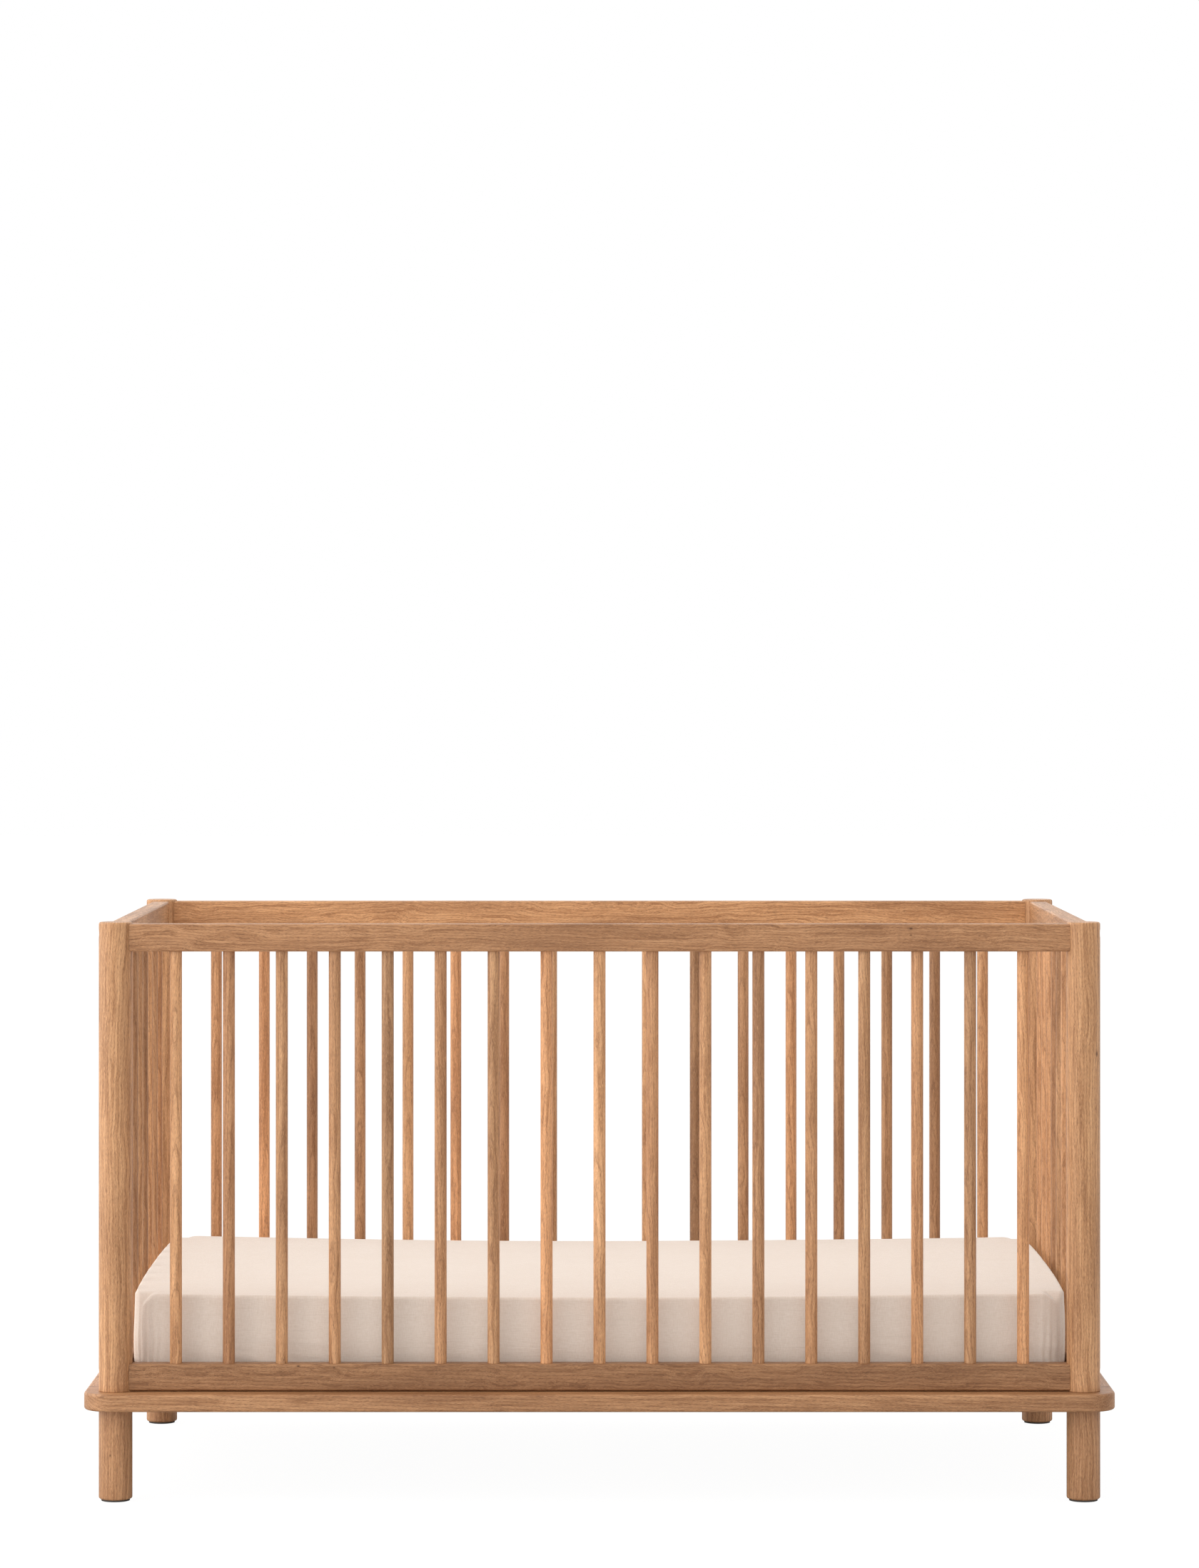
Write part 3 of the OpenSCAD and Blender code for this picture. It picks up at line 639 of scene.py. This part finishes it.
def folds(points, normals):
    """How far out of the smooth sheet each point stands, in metres."""
    x, y, z = points.T
    along, across = np.abs(x), np.abs(y)
    height = (z - BOTTOM) / (TOP - BOTTOM)
    wall = smooth(1 - np.abs(normals[:, 2]), 0.35, 0.9)
    turned_under = normals[:, 2] < -0.5

    # Gathers round each corner: arc length from the corner's seam, and folds that waver as they fall
    corner_x, corner_y = along - (HALF_X - CORNER), across - (HALF_Y - CORNER)
    turn = np.arctan2(np.clip(corner_y, -1, None), np.clip(corner_x, 1e-6, None)) - math.pi / 4
    arc = np.where((corner_x > 0) & (corner_y > 0), turn * CORNER, 0.0)
    arc = np.where((corner_x > 0) & (corner_y <= 0), -math.pi / 4 * CORNER + corner_y, arc)
    arc = np.where((corner_x <= 0) & (corner_y > 0), math.pi / 4 * CORNER - corner_x, arc)
    near = np.where((corner_x > 0) | (corner_y > 0), 1.0, 0.0)
    near *= 1 - smooth(np.abs(arc), 0.018, 0.060)
    quarter = np.sign(x) * 3.7 + np.sign(y) * 1.9
    seed_points = np.stack([arc * 30, z * 26, quarter * 5], -1)
    waver = waves(seed_points, (1, 1, 1), 3.3)
    gather = np.sin((arc + 0.0030 * waver) * 2 * math.pi / GATHER_PITCH)
    low = np.where(turned_under, 1.0, 1 - 0.75 * smooth(height, 0.25, 0.95))
    lift = GATHER_DEPTH * near * low * (0.35 + 0.65 * gather) * np.maximum(wall, turned_under)
    seam = np.exp(-(arc / SEAM_WIDTH) ** 2) * (near > 0.99)
    lift += SEAM_HEIGHT * seam * np.maximum(wall, turned_under) * smooth(1 - height, 0.05, 0.2)

    # Faint drag lines low on the walls, puckers over the end edges, and soft ones on the top
    length_way = np.where(np.abs(normals[:, 0]) > np.abs(normals[:, 1]), y, x)
    wall_at = np.stack([length_way, z, np.where(y > 0, 7.0, 0.0) + np.where(x > 0, 3.0, 0.0)], -1)
    lines = waves(wall_at + np.stack([z * 0, length_way * 0.10, z * 0], -1), (5.0, 75.0, 1.0), 11.0)
    patch = smooth(waves(wall_at, (6.0, 12.0, 1.0), 5.0), -0.1, 0.45)
    lift += 0.0024 * np.clip(lines, -0.2, 1) * patch * wall * (1 - smooth(height, 0.25, 0.60))
    broad = waves(wall_at, (5.0, 16.0, 1.0), 8.0)
    lift += 0.0006 * broad * wall * (1 - smooth(height, 0.6, 0.9))
    topside = smooth(normals[:, 2], 0.5, 0.9)
    pucker = waves(points, (9.0, 38.0, 1.0), 21.0)
    lift += 0.0011 * pucker * topside * smooth(along, HALF_X - 0.12, HALF_X - 0.03)
    ridge = 1 - np.abs(waves(wall_at, (4.0, 95.0, 1.0), 51.0)) * 3.5
    lift += 0.0006 * np.clip(ridge, 0, 1) ** 2 * patch * wall * (1 - smooth(height, 0.30, 0.50))
    crease = waves(points, (5.0, 60.0, 1.0), 31.0)
    spots = smooth(waves(points, (3.0, 8.0, 1.0), 14.0), 0.05, 0.5)
    lift += 0.0006 * crease * spots * topside * smooth(-y, HALF_Y - 0.16, HALF_Y - 0.03)
    lift += 0.0006 * waves(points, (3.5, 5.0, 1.0), 41.0) * topside
    return np.where(turned_under, np.clip(lift, -0.0006, 0.0004), lift)


def fabric(name, light, dark, thread=0.0009, slubs=0.5, creases=0.0):
    """Plain weave from crossed threads that follow the piece's three axes.

    thread is its spacing in metres, slubs how much the thick spots in its yarn show, and creases how
    strong the lines low on the walls are.
    """
    s = Shader(name)
    place = s.place()
    fine = 1.0 / thread
    weft = s.noise(s.vector("MULTIPLY", place, (fine * 0.10, fine, fine)), 1.0, 2.0, 0.6)
    warp = s.noise(s.vector("MULTIPLY", place, (fine, fine * 0.12, fine * 0.12)), 1.0, 2.0, 0.6)
    rise = s.noise(s.vector("MULTIPLY", place, (fine * 0.12, fine * 0.12, fine)), 1.0, 2.0, 0.6)
    facing = s.math("ABSOLUTE", s.split(s.node("ShaderNodeTexCoord").outputs["Normal"])[0])
    level_part = s.math("MULTIPLY", s.math("SUBTRACT", 1.0, facing), warp)
    cross = s.math("ADD", level_part, s.math("MULTIPLY", facing, rise))
    weave = s.math("MULTIPLY", s.math("ADD", weft, cross), 0.5)
    slub = s.noise(s.vector("MULTIPLY", place, (9.0, 330.0, 330.0)), 1.0, 2.0)
    slub = s.math("MULTIPLY", s.span(slub, 0.60, 0.75), slubs)
    cloud = s.noise(place, 14.0, 3.0)
    color = s.mix(s.span(weave, 0.36, 0.62), rgba(*dark), rgba(*light))
    color = s.mix(s.math("MULTIPLY", slub, 0.35), color, rgba(*(c * 0.86 for c in dark)))
    color = s.mix(s.span(cloud, 0.35, 0.7, 0.0, 0.22), color, rgba(*dark))
    s.feed(s.surface.inputs["Base Color"], color)
    s.surface.inputs["Roughness"].default_value = 0.92
    s.surface.inputs["Specular IOR Level"].default_value = 0.25
    s.surface.inputs["Sheen Weight"].default_value = 0.25
    s.surface.inputs["Sheen Roughness"].default_value = 0.5
    height = s.math("ADD", weave, s.math("MULTIPLY", slub, 0.6))
    woven = s.bump(height, 0.00016, 0.8)
    drag = s.noise(s.vector("MULTIPLY", place, (9.0, 9.0, 150.0)), 1.0, 2.0)
    drag = s.math("ABSOLUTE", s.math("SUBTRACT", drag, 0.5))
    patch = s.span(s.noise(s.vector("MULTIPLY", place, (11.0, 11.0, 30.0)), 1.0, 1.0), 0.48, 0.62)
    low = s.span(s.split(place)[2], BOTTOM + 0.055, BOTTOM + 0.030)
    drag = s.math("MULTIPLY", s.math("MULTIPLY", s.span(drag, 0.075, 0.0), low), patch)
    s.feed(s.surface.inputs["Normal"], s.bump(drag, 0.0012, creases, woven))
    return s.material


def add_soft_goods():
    mattress, rest, moved = add_mattress()
    cover = fabric("mattress_fabric", (0.80, 0.79, 0.75), (0.70, 0.69, 0.66), thread=0.0016, slubs=0.0)
    mattress.data.materials.append(cover)
    smoother = mattress.modifiers.new("smooth", "SUBSURF")
    smoother.levels = smoother.render_levels = 1
    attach(mattress, "mattress")
    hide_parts("mattress_core", "mattress_cover")
    sheet = add_sheet(rest, moved)
    linen = fabric("sheet_fabric", (0.83, 0.735, 0.655), (0.74, 0.635, 0.545), creases=0.22)
    sheet.data.materials.append(linen)
    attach(sheet, "mattress")
    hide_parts("fitted_sheet")


# ---------------------------------------------------------------- stage and light

def add_plane(name, height, diffuse, glow):
    """A wide level plane of the stage, which gives off some light of its own."""
    mesh = bpy.data.meshes.new(name)
    reach = 30.0
    corners = [(x * reach, y * reach, height) for x, y in ((-1, -1), (1, -1), (1, 1), (-1, 1))]
    mesh.from_pydata(corners, [], [(0, 1, 2, 3)])
    plane = bpy.data.objects.new(name, mesh)
    bpy.context.scene.collection.objects.link(plane)
    s = Shader(name)
    surface = s.surface.inputs
    surface["Base Color"].default_value = rgba(diffuse, diffuse, diffuse)
    surface["Roughness"].default_value = 1.0
    surface["Specular IOR Level"].default_value = 0.0
    surface["Emission Color"].default_value = rgba(1.0, 1.0, 1.0)
    surface["Emission Strength"].default_value = glow
    mesh.materials.append(s.material)
    return plane


def add_floor():
    """A pale sweep, almost shadowless to the eye, and the plain white floor that bounces the light."""
    seen = add_plane("floor", 0.0, 0.06, 0.965)
    seen.visible_diffuse = False
    seen.visible_glossy = False
    bounce = add_plane("floor_bounce", -0.001, 0.72, 0.0)
    bounce.visible_camera = False


def add_area_light(name, place, target, size, power, color):
    """A rectangular lamp that faces its target."""
    data = bpy.data.lights.new(name, "AREA")
    data.shape = "RECTANGLE"
    data.size, data.size_y = size
    data.energy = power
    data.color = color
    light = bpy.data.objects.new(name, data)
    light.location = place
    light.rotation_euler = (Vector(target) - Vector(place)).to_track_quat("-Z", "Y").to_euler()
    bpy.context.scene.collection.objects.link(light)


# The room's light from everywhere, and what is added toward (axis, sign) of its sky
ROOM_BASE = 0.81
ROOM_GLOW = ((0, -1.0, 1.05), (1, -1.0, 0.16), (1, 1.0, 0.40), (2, 1.0, 0.06))


def add_light():
    """A white studio that is brightest from the left, above and behind, and dimmer from the front."""
    world = bpy.data.worlds.new("studio")
    bpy.context.scene.world = world
    world.use_nodes = True
    tree = world.node_tree

    def node(kind, **values):
        made = tree.nodes.new(kind)
        for key, value in values.items():
            setattr(made, key, value)
        return made

    direction = node("ShaderNodeSeparateXYZ")
    tree.links.new(node("ShaderNodeTexCoord").outputs["Generated"], direction.inputs[0])
    total = None
    for axis, sign, amount in ROOM_GLOW:
        lean = node("ShaderNodeMath", operation="MULTIPLY_ADD", use_clamp=False)
        part = node("ShaderNodeMath", operation="MULTIPLY", use_clamp=True)
        tree.links.new(direction.outputs[axis], part.inputs[0])
        part.inputs[1].default_value = sign
        tree.links.new(part.outputs[0], lean.inputs[0])
        lean.inputs[1].default_value = amount
        lean.inputs[2].default_value = ROOM_BASE
        if total is not None:
            tree.links.new(total, lean.inputs[2])
        total = lean.outputs[0]
    seen = tree.nodes["Background"]
    seen.inputs["Color"].default_value = (1.0, 1.0, 1.0, 1.0)
    room = node("ShaderNodeBackground")
    room.inputs["Color"].default_value = (1.0, 0.995, 0.985, 1.0)
    tree.links.new(total, room.inputs["Strength"])
    ray = node("ShaderNodeLightPath")
    pick = node("ShaderNodeMixShader")
    tree.links.new(ray.outputs["Is Camera Ray"], pick.inputs[0])
    tree.links.new(room.outputs[0], pick.inputs[1])
    tree.links.new(seen.outputs[0], pick.inputs[2])
    tree.links.new(pick.outputs[0], tree.nodes["World Output"].inputs["Surface"])
    add_area_light(
        "key", place=(-2.3, -0.9, 1.3), target=(0.0, 0.0, 0.3), size=(2.4, 2.4), power=24.0,
        color=(1.0, 0.985, 0.96),
    )
    bpy.context.scene.view_settings.view_transform = "Standard"


add_camera()
dress_wood()
dress_hardware()
add_soft_goods()
add_floor()
add_light()
